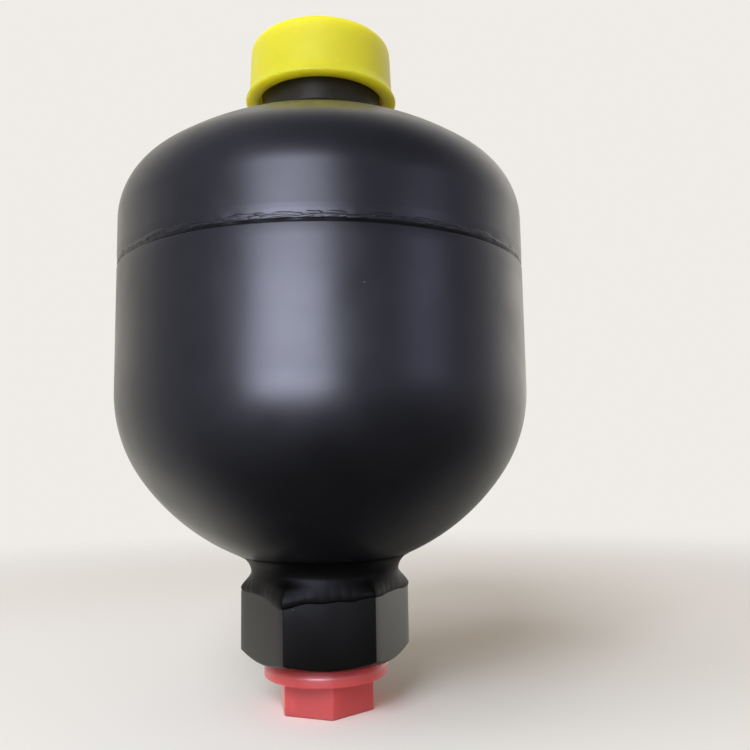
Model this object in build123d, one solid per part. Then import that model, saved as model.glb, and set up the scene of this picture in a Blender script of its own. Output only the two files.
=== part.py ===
from build123d import *
from math import atan2, cos, pi, radians, sin, sqrt, tan
import os

# Diaphragm accumulator with a welded shell, in millimetres, standing on its transport plug.
# +Z runs up the axis from the fluid port to the gas boss, and z = 0 is the plug's end face.
# The hexagon of the fluid port has two of its corners on the X axis.

# Transport plug of the fluid port
plug_across_flats = 19.0
plug_head_height = 7.0
plug_head_wall = 1.8
plug_recess_depth = 5.2
plug_turn_deg = 34.0
plug_flange_radius = 13.4
plug_flange_height = 3.7
plug_flange_bevel = 1.0
plug_flange_bevel_height = 1.8
plug_thread_length = 5.0
plug_thread_wall = 1.6
plug_thread_clearance = 0.05

# Fluid port
port_across_flats = 32.0
port_height = 16.2
port_bevel_deg = 30.0
port_bevel_share = 0.95
lead_in_radius = 10.5
lead_in_depth = 5.5
thread_radius = 9.32
thread_length = 10.2
drill_cone_deg = 59.0
flow_radius = 6.0
port_spigot_radius = 11.0
port_standoff = 1.9
port_weld_waist_excess = 0.2
port_weld_waist_height = 2.1
port_weld_bulge = 2.0
port_weld_flare = 2.0
port_weld_lap = 2.1

# Pressed and turned shell halves
shell_radius = 45.2
shell_wall = 4.2
fluid_crown_excess = 2.8
fluid_knuckle_radius = 32.2
fluid_skirt = 27.5
gas_crown_excess = 18.6
gas_knuckle_radius = 15.85
gas_skirt = 9.5
seat_margin = 0.7
seat_depth = 0.75

# Girth weld with its groove and backing ring
weld_root_width = 1.0
weld_face_width = 2.8
weld_recess = 0.1
weld_gap = 0.02
undercut_height = 0.6
undercut_depth = 0.5
backing_wall = 1.35
backing_height = 8.0
backing_bevel = 0.35

# Clamp ring that holds the rim of the diaphragm
ring_drop = 2.0
ring_height = 12.0
ring_collar_height = 3.5
ring_wall = 2.0
ring_lip_height = 2.0
ring_lip_reach = 0.65
ring_edge_radius = 0.8
press_gap = 0.05

# Diaphragm with its rim bead and centre knob
membrane_thickness = 2.2
membrane_gap = 0.1
bead_thickness = 3.1
bead_height = 6.3
bead_round = 0.9
knob_radius = 8.5
knob_height = 8.2
knob_round = 2.5
moulded_gap = 0.05
pad_margin = 1.4

# Closing disc moulded into the knob
disc_radius = 12.6
disc_thickness = 2.6
disc_bevel = 0.6
disc_seat_gap = 0.05
stud_radius = 3.0
stud_length = 2.4
stud_head_radius = 5.0
stud_head_height = 1.6

# Gas boss
boss_radius = 13.9
boss_height = 17.1
boss_bevel = 1.0
boss_spigot_radius = 8.0
boss_seat_gap = 0.1
boss_weld_leg = 1.9
boss_weld_rise = 0.95
boss_weld_hollow = 0.35
gas_passage_radius = 1.5

# Charging screw and its sealing ring
screw_radius = 7.0
screw_clearance = 0.05
screw_recess = 3.5
screw_length = 8.0
screw_bevel = 0.7
socket_across_flats = 6.0
socket_depth = 4.6
shoulder_radius = 5.7
shoulder_height = 0.6
groove_radius = 3.8
groove_height = 2.2
nose_radius = 5.2
nose_height = 0.7
nose_gap = 0.1
seal_section_radius = 1.0
seal_clearance = 0.05
screw_bore_bevel = 1.1

# Push-on protective cap of the gas boss
cap_roof = 2.5
cap_clearance = 0.3
cap_wall = 2.05
cap_draft = 0.45
cap_skirt = 11.8
cap_crown_round = 3.2
cap_lip_height = 2.8
cap_lip_reach = 0.9
cap_inner_round = 0.8

# Play between pieces that are assembled or welded, and how far cuts run past a surface
fit_gap = 0.05
overrun = 1.0

# Heights that follow from the sizes above
port_face_z = plug_head_height + plug_flange_height
port_top_z = port_face_z + port_height
fluid_apex_z = port_top_z + port_standoff


def profile(points):
    """Face in the XZ plane from corner points given as (radius, height)."""
    return Plane.XZ * make_face(Polyline(*points, close=True))


def turned(points):
    """Solid of revolution about Z from corner points given as (radius, height)."""
    return revolve(profile(points), Axis.Z)


def ring(inner, outer, low, high):
    """Plain ring, or a disc when the inner radius is zero."""
    return turned([(inner, low), (outer, low), (outer, high), (inner, high)])


def hex_prism(across_flats, low, high, turn_deg=0.0):
    """Hexagonal prism with a corner at the given angle from +X."""
    outline = RegularPolygon(across_flats / 2, 6, major_radius=False, rotation=turn_deg)
    return extrude(Pos(0, 0, low) * outline, high - low)


class Head:
    """Dished end of the shell: a crown arc on the axis and a knuckle arc tangent to it and the wall."""

    def __init__(self, crown_excess, knuckle, up):
        self.crown = shell_radius + crown_excess
        self.knuckle = knuckle
        self.up = 1 if up else -1
        self.centre_r = shell_radius - knuckle
        rise = sqrt((self.crown - knuckle) ** 2 - self.centre_r**2)
        self.height = self.crown - rise
        self.tangent_angle = atan2(rise, self.centre_r)

    def place(self, skirt_z):
        """Put the line where the knuckle meets the straight skirt at a height."""
        self.skirt_z = skirt_z
        self.apex_z = skirt_z + self.up * self.height
        self.crown_z = self.apex_z - self.up * self.crown

    def height_at(self, radius, inset=0.0):
        """Height of the crown at a radius, on the surface that lies inset inside the outer one."""
        return self.crown_z + self.up * sqrt((self.crown - inset) ** 2 - radius**2)

    def edges(self, inset=0.0):
        """Crown and knuckle arcs from the axis to the skirt, inset from the outer surface."""
        crown = self.crown - inset
        knuckle = self.knuckle - inset
        middle = (self.tangent_angle + pi / 2) / 2
        half = self.tangent_angle / 2

        def on_crown(angle):
            return (crown * cos(angle), self.crown_z + self.up * crown * sin(angle))

        def on_knuckle(angle):
            return (self.centre_r + knuckle * cos(angle), self.skirt_z + self.up * knuckle * sin(angle))

        crown_arc = ThreePointArc((0, self.apex_z - self.up * inset), on_crown(middle),
                                  on_crown(self.tangent_angle))
        knuckle_arc = ThreePointArc(on_crown(self.tangent_angle), on_knuckle(half), on_knuckle(0))
        return [crown_arc, knuckle_arc]

    def solid(self, inset, end_z):
        """Solid bounded by the inset surface, from the apex to a plane on the skirt."""
        radius = shell_radius - inset
        rest = Polyline((radius, self.skirt_z), (radius, end_z), (0, end_z),
                        (0, self.apex_z - self.up * inset))
        return revolve(Plane.XZ * make_face(self.edges(inset) + [rest]), Axis.Z)


fluid_head = Head(fluid_crown_excess, fluid_knuckle_radius, up=False)
gas_head = Head(gas_crown_excess, gas_knuckle_radius, up=True)
fluid_head.place(fluid_apex_z + fluid_head.height)
seam_z = fluid_head.skirt_z + fluid_skirt
gas_head.place(seam_z + gas_skirt)

bore_radius = shell_radius - shell_wall
seat_radius = disc_radius + seat_margin
seat_z = fluid_head.height_at(0, shell_wall) + seat_depth
boss_base_z = gas_head.apex_z + boss_seat_gap
boss_top_z = gas_head.apex_z + boss_height
ring_top_z = seam_z - ring_drop
ring_bottom_z = ring_top_z - ring_height
ring_outer = bore_radius - press_gap
bead_outer = bore_radius - membrane_gap
bead_inner = bead_outer - bead_thickness
web_outer = bead_inner - press_gap
web_inner = web_outer - ring_wall
bead_top_z = ring_top_z - ring_collar_height - press_gap
disc_top_z = seat_z + disc_seat_gap + disc_thickness
screw_top_z = boss_top_z - screw_recess
screw_shoulder_z = screw_top_z - screw_length
groove_top_z = screw_shoulder_z - shoulder_height
groove_bottom_z = groove_top_z - groove_height
nose_bottom_z = groove_bottom_z - nose_height
bore_floor_z = nose_bottom_z - nose_gap
seal_centre_radius = groove_radius + seal_clearance + seal_section_radius
seal_bore_radius = seal_centre_radius + seal_section_radius + seal_clearance


def weld_groove(shrink):
    """V groove between the shell halves, made narrower on each side by shrink."""
    root = weld_root_width / 2 - shrink
    face = weld_face_width / 2 - shrink
    inner = bore_radius + shrink
    outer = shell_radius + fit_gap
    return turned([(inner, seam_z - root), (outer, seam_z - face),
                   (outer, seam_z + face), (inner, seam_z + root)])


def fluid_shell():
    """Deep half with the valve seat, the hole of the fluid port and its side of the weld groove."""
    body = fluid_head.solid(0, seam_z) - fluid_head.solid(shell_wall, seam_z)
    body -= ring(0, port_spigot_radius + fit_gap, fluid_apex_z - fit_gap, seat_z)
    body -= ring(0, seat_radius, seat_z, seat_z + shell_wall)
    return body - seam_cut()


def gas_shell():
    """Shallow half with the hole of the gas boss and its side of the weld groove."""
    body = gas_head.solid(0, seam_z) - gas_head.solid(shell_wall, seam_z)
    inside_z = gas_head.apex_z - 2 * shell_wall
    body -= ring(0, boss_spigot_radius + fit_gap, inside_z, gas_head.apex_z + fit_gap)
    return body - seam_cut()


def seam_cut():
    """Root gap and V groove taken out of both halves."""
    root = weld_root_width / 2
    gap = ring(bore_radius - fit_gap, bore_radius + fit_gap, seam_z - root, seam_z + root)
    return gap + weld_groove(0)


def girth_weld():
    """Weld between the halves, nearly flush with the shell, with an undercut along its lower edge."""
    low = seam_z - weld_face_width / 2
    high = seam_z + weld_face_width / 2
    outside = shell_radius + overrun
    body = weld_groove(weld_gap) - ring(shell_radius - weld_recess, outside, low, high)
    return body - ring(shell_radius - undercut_depth, outside, low, low + undercut_height)


def weld_backing_ring():
    """Thin ring behind the root of the girth weld, standing on the clamp ring."""
    body = ring(ring_outer - backing_wall, ring_outer, ring_top_z, ring_top_z + backing_height)
    return chamfer(body.edges().sort_by(Axis.Z)[-2:], backing_bevel)


def clamp_ring():
    """Ring of C section: a collar above, a web inside and a lip under the diaphragm's bead."""
    collar_z = ring_top_z - ring_collar_height
    lip = web_outer + ring_lip_reach
    lip_top_z = ring_bottom_z + ring_lip_height
    body = turned([(web_inner, ring_bottom_z), (lip, ring_bottom_z), (lip, lip_top_z),
                   (web_outer, lip_top_z + ring_lip_reach), (web_outer, collar_z),
                   (ring_outer, collar_z), (ring_outer, ring_top_z), (web_inner, ring_top_z)])
    return fillet(body.edges().sort_by(Axis.Z)[:2], ring_edge_radius)


def diaphragm():
    """Moulded bag that lies in the deep half, with its rim bead and its knob over the closing disc."""
    outer_inset = shell_wall + membrane_gap
    inner_inset = outer_inset + membrane_thickness
    bead_bottom_z = bead_top_z - bead_height
    root_z = bead_bottom_z - bead_round
    body = fluid_head.solid(outer_inset, bead_bottom_z)
    pad_z = disc_top_z + moulded_gap + membrane_thickness
    hollow = fluid_head.solid(inner_inset, bead_bottom_z)
    hollow -= ring(0, disc_radius + pad_margin, fluid_apex_z, pad_z)
    body -= hollow
    knob = ring(0, knob_radius, pad_z - membrane_thickness, disc_top_z + knob_height)
    body += fillet(knob.edges().sort_by(Axis.Z)[-1], knob_round)
    bead = ring(bead_inner, bead_outer, bead_bottom_z, bead_top_z)
    body += fillet(bead.edges(), bead_round)
    body += ring(bead_outer - membrane_thickness, bead_outer, root_z, bead_bottom_z + bead_round)
    body -= ring(0, disc_radius + moulded_gap, fluid_apex_z, disc_top_z + moulded_gap)
    return body - stud(moulded_gap)


def stud(grow):
    """Mushroom stud of the closing disc, grown all round for its cavity in the rubber."""
    neck = stud_radius + grow
    head = stud_head_radius + grow
    head_low_z = disc_top_z + stud_length - grow
    head_top_z = disc_top_z + stud_length + stud_head_height + grow
    return turned([(0, disc_top_z), (neck, disc_top_z), (neck, head_low_z),
                   (head, head_low_z), (head, head_top_z), (0, head_top_z)])


def valve_disc():
    """Disc that closes the fluid port, with the stud that the diaphragm is moulded round."""
    low = disc_top_z - disc_thickness
    rim = disc_radius - disc_bevel
    body = turned([(0, low), (rim, low), (disc_radius, low + disc_bevel),
                   (disc_radius, disc_top_z - disc_bevel), (rim, disc_top_z), (0, disc_top_z)])
    return body + stud(0)


def port_blank():
    """Hexagon with bevelled ends and the spigot that goes through the shell, before it is bored."""
    corner = port_across_flats / 2 / cos(pi / 6)
    face = port_across_flats / 2 * port_bevel_share
    drop = (corner - face) * tan(radians(port_bevel_deg))
    body = hex_prism(port_across_flats, port_face_z, port_top_z)
    body &= turned([(0, port_face_z), (face, port_face_z), (corner, port_face_z + drop),
                    (corner, port_top_z - drop), (face, port_top_z), (0, port_top_z)])
    return body + ring(0, port_spigot_radius, port_top_z, seat_z)


def fluid_port():
    """Hexagonal port with a lead-in, a threaded bore and the passage to the valve seat."""
    lead_in_z = port_face_z + lead_in_depth
    thread_z = lead_in_z + thread_length
    cone_z = thread_z + (thread_radius - flow_radius) / tan(radians(drill_cone_deg))
    bore = turned([(0, port_face_z), (lead_in_radius, port_face_z), (lead_in_radius, lead_in_z),
                   (thread_radius, lead_in_z), (thread_radius, thread_z), (flow_radius, cone_z),
                   (flow_radius, seat_z), (0, seat_z)])
    return port_blank() - bore


def fluid_port_weld():
    """Full weld between the port and the deep half, lapping down over the hexagon's upper bevel."""
    inner = port_spigot_radius + fit_gap
    low_z = port_top_z - port_weld_lap
    waist_radius = port_across_flats / 2 + port_weld_waist_excess
    edge = waist_radius + port_weld_bulge / 2
    bulge = (waist_radius + port_weld_bulge, port_top_z - port_weld_lap / 2)
    waist = (waist_radius, port_top_z + port_weld_waist_height)
    foot_radius = waist_radius + port_weld_flare
    foot = (foot_radius, fluid_head.height_at(foot_radius))
    outline = [ThreePointArc((edge, low_z), bulge, (edge, port_top_z)),
               ThreePointArc((edge, port_top_z), waist, foot),
               Polyline(foot, (inner, foot[1]), (inner, low_z), (edge, low_z))]
    body = revolve(Plane.XZ * make_face(outline), Axis.Z)
    return body - port_blank() - fluid_head.solid(-weld_gap, seam_z)


def gas_boss():
    """Boss with the stepped bore of the charging screw and a spigot through the shallow half."""
    body = turned([(0, boss_base_z), (boss_radius, boss_base_z), (boss_radius, boss_top_z - boss_bevel),
                   (boss_radius - boss_bevel, boss_top_z), (0, boss_top_z)])
    body += ring(0, boss_spigot_radius, gas_head.height_at(0, shell_wall), boss_base_z)
    bore = screw_radius + screw_clearance
    entry = bore + screw_bore_bevel
    shelf_z = screw_shoulder_z - screw_clearance
    seal_top_z = groove_top_z - screw_clearance
    body -= turned([(0, bore_floor_z), (seal_bore_radius, bore_floor_z), (seal_bore_radius, seal_top_z),
                    (bore, shelf_z), (bore, boss_top_z - screw_bore_bevel), (entry, boss_top_z),
                    (0, boss_top_z)])
    return body - ring(0, gas_passage_radius, gas_head.apex_z - 2 * shell_wall, bore_floor_z)


def gas_boss_weld():
    """Fillet weld round the foot of the boss, filling the wedge above the crown."""
    inner = boss_spigot_radius + fit_gap
    wall = boss_radius + fit_gap
    toe = boss_radius + boss_weld_leg
    toe_z = gas_head.height_at(toe)
    top_z = boss_base_z + boss_weld_rise
    middle = ((wall + toe) / 2 - boss_weld_hollow, (top_z + toe_z) / 2 - boss_weld_hollow)
    outline = [Polyline((toe, toe_z), (inner, toe_z), (inner, boss_base_z),
                        (wall, boss_base_z), (wall, top_z)),
               ThreePointArc((wall, top_z), middle, (toe, toe_z))]
    return revolve(Plane.XZ * make_face(outline), Axis.Z) - gas_head.solid(-weld_gap, seam_z)


def charging_screw():
    """Screw with a hexagon socket above and a grooved nose for the sealing ring below."""
    body = turned([(0, nose_bottom_z), (nose_radius, nose_bottom_z), (nose_radius, groove_bottom_z),
                   (groove_radius, groove_bottom_z), (groove_radius, groove_top_z),
                   (shoulder_radius, groove_top_z), (shoulder_radius, screw_shoulder_z),
                   (screw_radius, screw_shoulder_z + screw_bevel), (screw_radius, screw_top_z - screw_bevel),
                   (screw_radius - screw_bevel, screw_top_z), (0, screw_top_z)])
    return body - hex_prism(socket_across_flats, screw_top_z - socket_depth, screw_top_z)


def charging_seal():
    """Round sealing ring in the groove of the charging screw's nose."""
    return Pos(0, 0, (groove_bottom_z + groove_top_z) / 2) * Torus(seal_centre_radius, seal_section_radius)


def gas_cap():
    """Moulded cap: a drafted skirt with a rounded crown, and a lip round its mouth."""
    inner = boss_radius + cap_clearance
    mouth = inner + cap_wall + cap_draft
    crown = inner + cap_wall
    top_z = boss_top_z + cap_roof
    mouth_z = boss_top_z - cap_skirt
    body = turned([(0, mouth_z), (mouth, mouth_z), (crown, top_z), (0, top_z)])
    body = fillet(body.edges().sort_by(Axis.Z)[-1], cap_crown_round)
    lip = ring(0, mouth + cap_lip_reach, mouth_z, mouth_z + cap_lip_height)
    body += fillet(lip.edges(), cap_lip_height / 2 - fit_gap)
    hollow = ring(0, inner, mouth_z - cap_lip_height, boss_top_z)
    return body - fillet(hollow.edges().sort_by(Axis.Z)[-1], cap_inner_round)


def port_plug():
    """Moulded screw plug: hexagon head open below, bevelled flange and a hollow threaded barrel."""
    body = hex_prism(plug_across_flats, 0, plug_head_height, plug_turn_deg)
    flange_z = port_face_z - plug_flange_bevel_height
    body += turned([(0, plug_head_height), (plug_flange_radius, plug_head_height),
                    (plug_flange_radius, flange_z), (plug_flange_radius - plug_flange_bevel, port_face_z),
                    (0, port_face_z)])
    barrel = lead_in_radius - plug_thread_clearance
    barrel_z = port_face_z + plug_thread_length
    body += ring(0, barrel, port_face_z, barrel_z)
    body -= ring(0, barrel - plug_thread_wall, port_face_z - plug_flange_bevel, barrel_z)
    return body - ring(0, plug_across_flats / 2 - plug_head_wall, 0, plug_recess_depth)


nodes = {
    "fluid_shell": fluid_shell(),
    "gas_shell": gas_shell(),
    "girth_weld": girth_weld(),
    "weld_backing_ring": weld_backing_ring(),
    "clamp_ring": clamp_ring(),
    "diaphragm": diaphragm(),
    "valve_disc": valve_disc(),
    "fluid_port": fluid_port(),
    "fluid_port_weld": fluid_port_weld(),
    "gas_boss": gas_boss(),
    "gas_boss_weld": gas_boss_weld(),
    "charging_screw": charging_screw(),
    "charging_seal": charging_seal(),
    "gas_cap": gas_cap(),
    "port_plug": port_plug(),
}

os.makedirs("parts", exist_ok=True)
for name, shape in nodes.items():
    solid = shape.solids()[0] if len(shape.solids()) == 1 else shape
    export_step(solid, f"parts/{name}.step")

inside = fluid_head.solid(shell_wall, seam_z).volume + gas_head.solid(shell_wall, seam_z).volume
kept_inside = ("weld_backing_ring", "clamp_ring", "diaphragm", "valve_disc")
free = inside - sum(nodes[name].volume for name in kept_inside)
print("overall height", round(boss_top_z + cap_roof, 2), "seam", round(seam_z, 2))
print("inner volume in litres, bare and with its pieces:", round(inside / 1e6, 3), round(free / 1e6, 3))
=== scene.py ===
import logging
import math
from dataclasses import dataclass
from enum import Enum
from functools import cache
from typing import Any, Sequence

import bmesh
import bpy
import numpy as np
from bpy.types import Material, Mesh, Node, NodeSocket, NodeTree, Object
from mathutils import Matrix, Vector, noise


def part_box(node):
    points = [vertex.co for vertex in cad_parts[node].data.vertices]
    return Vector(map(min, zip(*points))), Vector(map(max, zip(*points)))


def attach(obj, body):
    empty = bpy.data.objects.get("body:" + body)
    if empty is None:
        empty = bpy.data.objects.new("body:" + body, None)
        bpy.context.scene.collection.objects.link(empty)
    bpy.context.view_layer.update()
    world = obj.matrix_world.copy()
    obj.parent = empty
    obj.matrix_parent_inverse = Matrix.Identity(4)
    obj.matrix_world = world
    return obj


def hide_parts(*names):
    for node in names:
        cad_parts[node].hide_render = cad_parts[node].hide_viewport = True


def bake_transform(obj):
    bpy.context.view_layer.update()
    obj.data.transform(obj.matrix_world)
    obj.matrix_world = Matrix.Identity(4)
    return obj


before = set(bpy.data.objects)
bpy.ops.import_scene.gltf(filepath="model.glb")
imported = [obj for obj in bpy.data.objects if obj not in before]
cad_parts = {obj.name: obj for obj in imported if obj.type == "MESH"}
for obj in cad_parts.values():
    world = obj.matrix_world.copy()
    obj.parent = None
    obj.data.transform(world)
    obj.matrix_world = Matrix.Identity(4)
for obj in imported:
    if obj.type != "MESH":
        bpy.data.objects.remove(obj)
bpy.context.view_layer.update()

LOG = logging.getLogger("accumulator")
MM = 0.001
MM_PER_M = 1000
FULL_TURN = 2 * math.pi
Pair = tuple[float, float]
Triple = tuple[float, float, float]
Outline = list[Pair]


class Body(Enum):
    """Bodies of the mechanical model that pieces ride on."""

    VESSEL = "vessel"
    CLOSING_DISC = "closing_disc"
    SCREW = "screw"
    CAP = "cap"
    PLUG = "plug"


class Slot(Enum):
    """Material slots of the record."""

    PAINT = "black_paint"
    BLACKENED = "blackened_steel"
    BARE = "bare_steel"
    ZINC = "zinc_plated_steel"
    RUBBER = "nitrile_rubber"
    SEAL = "seal_rubber"
    YELLOW = "yellow_ldpe"
    RED = "red_ldpe"


def linear(colour: str) -> tuple[float, float, float, float]:
    """Turn an sRGB hex colour into linear red, green, blue and alpha.

    Args:
        colour: Colour such as "#1A2B3C".

    Returns:
        Four numbers for a colour socket.
    """
    values = [int(colour[i:i + 2], 16) / 255 for i in (1, 3, 5)]
    red, green, blue = (v / 12.92 if v <= 0.04045 else ((v + 0.055) / 1.055) ** 2.4 for v in values)
    return red, green, blue, 1.0


def feed(tree: NodeTree, node: Node, inputs: dict[str | int, Any]) -> None:
    """Give a node's inputs their values and links.

    Args:
        tree: Tree of the node.
        node: The node.
        inputs: Values, output sockets or nodes by input name, identifier or index. A node stands
            for the first of its outputs in use.
    """
    for key, value in inputs.items():
        socket = next((s for s in node.inputs if s.identifier == key), None) or node.inputs[key]
        if isinstance(value, Node):
            value = next(s for s in value.outputs if s.enabled)
        if isinstance(value, NodeSocket):
            tree.links.new(value, socket)
        else:
            socket.default_value = value


def add(tree: NodeTree, kind: str, inputs: dict[str, Any] | Sequence[Any] = (), **settings: Any) -> Node:
    """Add a node with its settings, values and links.

    Args:
        tree: Tree that gets the node.
        kind: Blender's name of the node type, where "ShaderNode" may be left out.
        inputs: What its inputs get, by name or identifier, or else in the order of the inputs.
        settings: Properties of the node itself.

    Returns:
        The new node.
    """
    node = tree.nodes.new(kind if "Node" in kind else "ShaderNode" + kind)
    for name, value in settings.items():
        setattr(node, name, value)
    feed(tree, node, inputs if isinstance(inputs, dict) else dict(enumerate(inputs)))
    return node


def show(obj: Object) -> Object:
    """Put an object in the scene."""
    bpy.context.scene.collection.objects.link(obj)
    return obj


def box_mm(node: str) -> tuple[Vector, Vector]:
    """Lowest and highest corners of a node at rest, in mm."""
    low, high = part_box(node)
    return low / MM, high / MM


# Finishes


@dataclass(frozen=True)
class Pattern:
    """What the patterns of a finish do to its surface.

    The share lets a second colour in. The roughness swings while its pattern goes from low to
    high. The bumps lie on each other, the lowest first, each with its height in mm.
    """

    share: Node
    second_colour: str
    bumps: tuple[tuple[Node, float], ...]
    swinging: tuple[Node, float, float] | None = None


@dataclass(frozen=True)
class Finish:
    """What every finish has: a name, a colour, how rough its surface is and how much it mirrors.

    The slot is the record's, the swing is how far the roughness goes down and up with the pattern.
    """

    name: str
    colour: str
    roughness: float
    gloss: float = 0.5
    slot: Slot = Slot.PAINT
    swing: Pair = (0.0, 0.0)

    @cache
    def material(self) -> Material:
        """Build the material once: one shader, with the patterns of this kind of finish.

        Returns:
            The material.
        """
        material = bpy.data.materials.new(self.name)
        material.use_nodes = True
        tree = material.node_tree
        pattern = self.pattern(tree, add(tree, "TexCoord").outputs["Object"])
        colour = add(tree, "Mix", {"Factor_Float": pattern.share, "A_Color": linear(self.colour),
                                   "B_Color": linear(pattern.second_colour)}, data_type="RGBA")
        rough: Node | float = self.roughness
        if pattern.swinging:
            rough = add(tree, "MapRange", (*pattern.swinging, *(self.roughness + way for way in self.swing)))
        bump: dict[str, Node] = {}
        for height, height_mm in pattern.bumps:
            bump = {"Normal": add(tree, "Bump", {"Height": height, "Distance": height_mm * MM, **bump})}
        feed(tree, tree.nodes["Principled BSDF"], {
            "Base Color": colour, "Roughness": rough, "Specular IOR Level": self.gloss, **bump,
            **self.constants()})
        return material

    def pattern(self, tree: NodeTree, coords: NodeSocket) -> Pattern:
        """Add the patterns of this kind of finish."""
        raise NotImplementedError

    def constants(self) -> dict[str, Any]:
        """What else the shader gets, the same all over."""
        return {}


@dataclass(frozen=True)
class StovedEnamel(Finish):
    """Black enamel, sprayed on steel and stoved: satin, with orange peel, slow waves and dust nibs."""

    swing: Pair = (-0.03, 0.04)
    peel_mm: float = 0.9
    peel_height_mm: float = 0.006
    wave_mm: float = 11.0
    wave_height_mm: float = 0.05
    nib_mm: float = 3.2
    nib_edge: Pair = (0.03, 0.06)
    nib_rarity: float = 0.86
    nib_height_mm: float = 0.03
    nib_colour: str = "#3A3B40"

    def pattern(self, tree: NodeTree, coords: NodeSocket) -> Pattern:
        """Add waves, which break up the long highlight as sprayed paint does, peel and nibs.

        Args:
            tree: Tree of the material.
            coords: Object coordinates.

        Returns:
            What they do.
        """
        peel, wave = (add(tree, "TexNoise", {"Vector": coords, "Scale": MM_PER_M / size, "Detail": 2.0})
                      for size in (self.peel_mm, self.wave_mm))
        nibs = add(tree, "TexVoronoi", {"Vector": coords, "Scale": MM_PER_M / self.nib_mm})
        nib = add(tree, "MapRange", (nibs, *self.nib_edge, 1.0, 0.0))
        rare = add(tree, "Math", (nibs.outputs["Color"], self.nib_rarity), operation="GREATER_THAN")
        spot = add(tree, "Math", (nib, rare), operation="MULTIPLY")
        return Pattern(spot, self.nib_colour, ((wave, self.wave_height_mm), (peel, self.peel_height_mm),
                                               (spot, self.nib_height_mm)), (wave, 0.3, 0.7))


@dataclass(frozen=True)
class TurnedSteel(Finish):
    """Steel off the lathe, bare, zinc plated or blackened and oiled: fine rings from the tool."""

    slot: Slot = Slot.BARE
    swing: Pair = (-0.04, 0.08)
    metallic: float = 1.0
    ring_mm_per_radian: float = 0.45
    ring_height_mm: float = 0.004
    stain_mm: float = 4.0
    stain_most: float = 0.5
    stain_colour: str = "#6E6A66"

    def pattern(self, tree: NodeTree, coords: NodeSocket) -> Pattern:
        """Add rings and stains. Real feed marks are finer; these are drawn at a width that shows.

        Args:
            tree: Tree of the material.
            coords: Object coordinates.

        Returns:
            What they do.
        """
        radians_per_scale = 20
        scale = MM_PER_M / self.ring_mm_per_radian / radians_per_scale
        rings = add(tree, "TexWave", {"Vector": coords, "Scale": scale, "Distortion": 1.2, "Detail": 2.0},
                    wave_type="BANDS", bands_direction="Z")
        stain = add(tree, "TexNoise", {"Vector": coords, "Scale": MM_PER_M / self.stain_mm, "Detail": 4.0})
        share = add(tree, "MapRange", (stain, 0.45, 0.8, 0.0, self.stain_most))
        return Pattern(share, self.stain_colour, ((rings, self.ring_height_mm),), (stain, 0.3, 0.7))

    def constants(self) -> dict[str, Any]:
        """How metallic it is."""
        return {"Metallic": self.metallic}


@dataclass(frozen=True)
class MouldedRubber(Finish):
    """Nitrile rubber from a mould: matt black with a faint bloom."""

    slot: Slot = Slot.RUBBER
    grain_mm: float = 0.5
    grain_height_mm: float = 0.01
    bloom_mm: float = 9.0
    bloom_colour: str = "#2B2B2C"

    def pattern(self, tree: NodeTree, coords: NodeSocket) -> Pattern:
        """Add a fine grain and cloudy bloom.

        Args:
            tree: Tree of the material.
            coords: Object coordinates.

        Returns:
            What they do.
        """
        grain = add(tree, "TexNoise", {"Vector": coords, "Scale": MM_PER_M / self.grain_mm})
        bloom = add(tree, "TexNoise", {"Vector": coords, "Scale": MM_PER_M / self.bloom_mm, "Detail": 3.0})
        return Pattern(bloom, self.bloom_colour, ((grain, self.grain_height_mm),))


@dataclass(frozen=True, kw_only=True)
class MouldedPolythene(Finish):
    """Low-density polythene from a mould: waxy, light goes in and comes out coloured."""

    swing: Pair = (-0.08, 0.08)
    shade_colour: str
    shade_mm: float = 7.0
    shade_most: float = 0.9
    scatter_mm: Triple
    scatter: float
    ior: float = 1.51
    grain_mm: float = 0.7
    grain_height_mm: float = 0.008
    swirl_mm: float = 5.0
    swirl_height_mm: float = 0.05

    def pattern(self, tree: NodeTree, coords: NodeSocket) -> Pattern:
        """Add a slightly uneven colour and the mould's fine grain.

        Args:
            tree: Tree of the material.
            coords: Object coordinates.

        Returns:
            What they do.
        """
        cloud = add(tree, "TexNoise", {"Vector": coords, "Scale": MM_PER_M / self.shade_mm, "Detail": 2.0})
        share = add(tree, "MapRange", (cloud, 0.0, 1.0, 0.0, self.shade_most))
        grain, swirl = (add(tree, "TexNoise", {"Vector": coords, "Scale": MM_PER_M / size, "Detail": detail})
                        for size, detail in ((self.grain_mm, 2.0), (self.swirl_mm, 1.0)))
        return Pattern(share, self.shade_colour, ((swirl, self.swirl_height_mm),
                                                  (grain, self.grain_height_mm)), (cloud, 0.0, 1.0))

    def constants(self) -> dict[str, Any]:
        """How it lets light in and scatters it."""
        return {"IOR": self.ior, "Subsurface Weight": self.scatter, "Subsurface Scale": MM,
                "Subsurface Radius": self.scatter_mm}


ENAMEL = StovedEnamel("stoved_black_enamel", "#131419", 0.34)
# Darker and less glossy copy of the shell's enamel for the port hexagon. It is partly thin paint on milled
# steel and partly painted shade for the dim light under the shell's belly.
THIN_ENAMEL_WITH_PAINTED_SHADE = StovedEnamel("thin_enamel_with_painted_shade_on_milled_steel", "#0C0C0B", 0.2, gloss=0.28, wave_height_mm=0.01,
                           peel_height_mm=0.003)
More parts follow.
